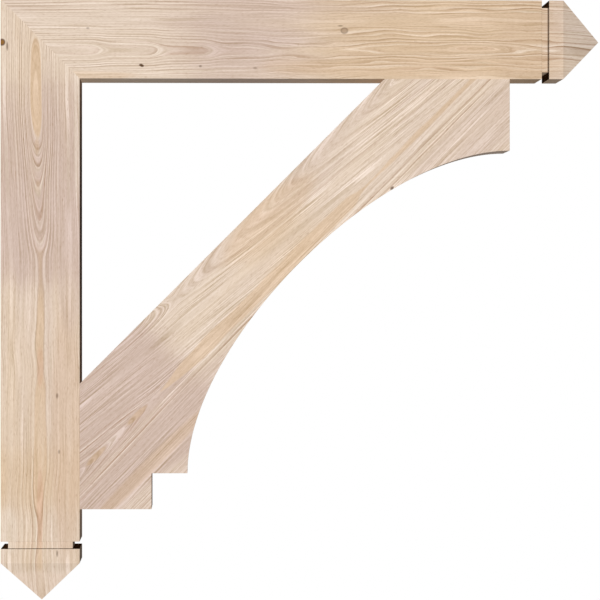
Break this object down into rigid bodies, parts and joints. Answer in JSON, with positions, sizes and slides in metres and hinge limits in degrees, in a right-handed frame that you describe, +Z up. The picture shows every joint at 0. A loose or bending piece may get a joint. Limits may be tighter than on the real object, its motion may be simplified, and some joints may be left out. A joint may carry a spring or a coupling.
{
  "type": "wooden corbel bracket",
  "caption": "Timber corbel bracket: mitred beam and post with grooved, pointed ends and a diagonal brace with an arched lower edge, fixed to a wall to carry an eave, shelf or beam.",
  "frame": {"origin": "middle of the post's flat face that bears on the wall: half its width, and half of its length above the groove", "axes": "+X out from the wall along the beam, +Z up, +Y across the bracket's thickness, so the picture looks along +Y"},
  "size_m": [1.0668, 0.1396, 1.0668],
  "materials": {
    "beam_wood": "matte",
    "post_wood": "matte",
    "brace_wood": "matte"
  },
  "bodies": {
    "root": {"top_beam": "beam_wood", "back_post": "post_wood", "arched_brace": "brace_wood"}
  },
  "joints": []
}
